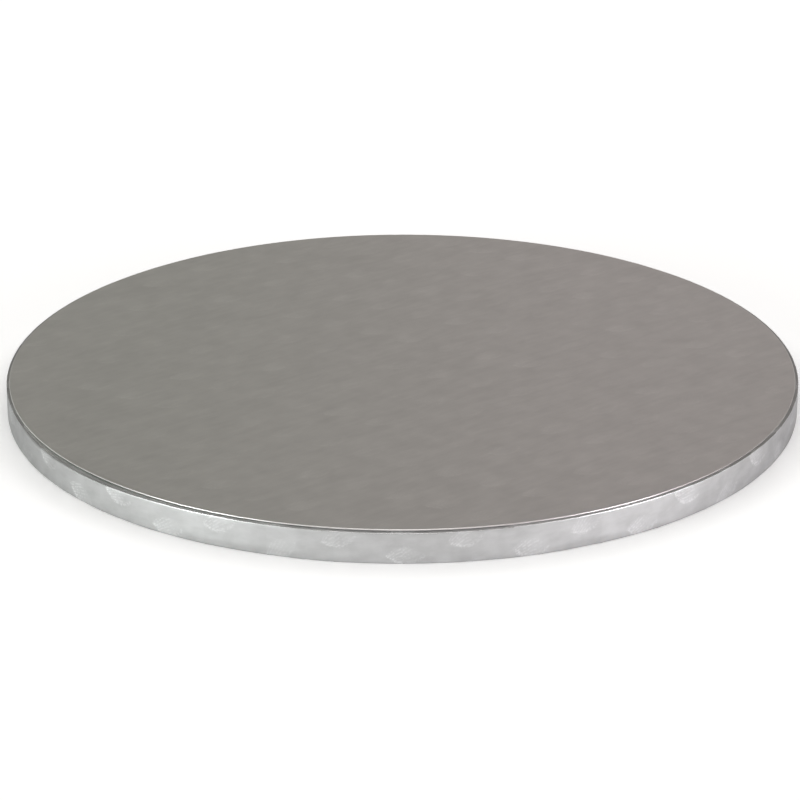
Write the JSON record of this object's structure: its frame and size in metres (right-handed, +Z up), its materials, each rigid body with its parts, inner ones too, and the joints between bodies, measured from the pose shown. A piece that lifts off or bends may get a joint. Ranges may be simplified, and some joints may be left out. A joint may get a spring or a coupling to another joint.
{
  "type": "cake board",
  "caption": "Round thick cake board with a silver foil top, a foil-wrapped edge and a white paper underside, which carries a cake.",
  "frame": {"origin": "on the surface that the board lies on, under the centre of the board", "axes": "+Z up through the board's thickness, from the white paper underside to the foil top; +Y away from the viewer of the picture; +X to the right"},
  "size_m": [0.3048, 0.3048, 0.0127],
  "materials": {
    "core_board": "matt grey board, rough and fibrous",
    "silver_foil": "satin silver foil laminated on thin paper, finely embossed",
    "silver_foil_card": "satin silver foil laminated on card, finely embossed",
    "white_paper": "plain matt white paper"
  },
  "bodies": {
    "root": {"core_board": "core_board", "edge_strip": "silver_foil", "top_sheet": "silver_foil_card", "base_sheet": "white_paper"}
  },
  "joints": []
}
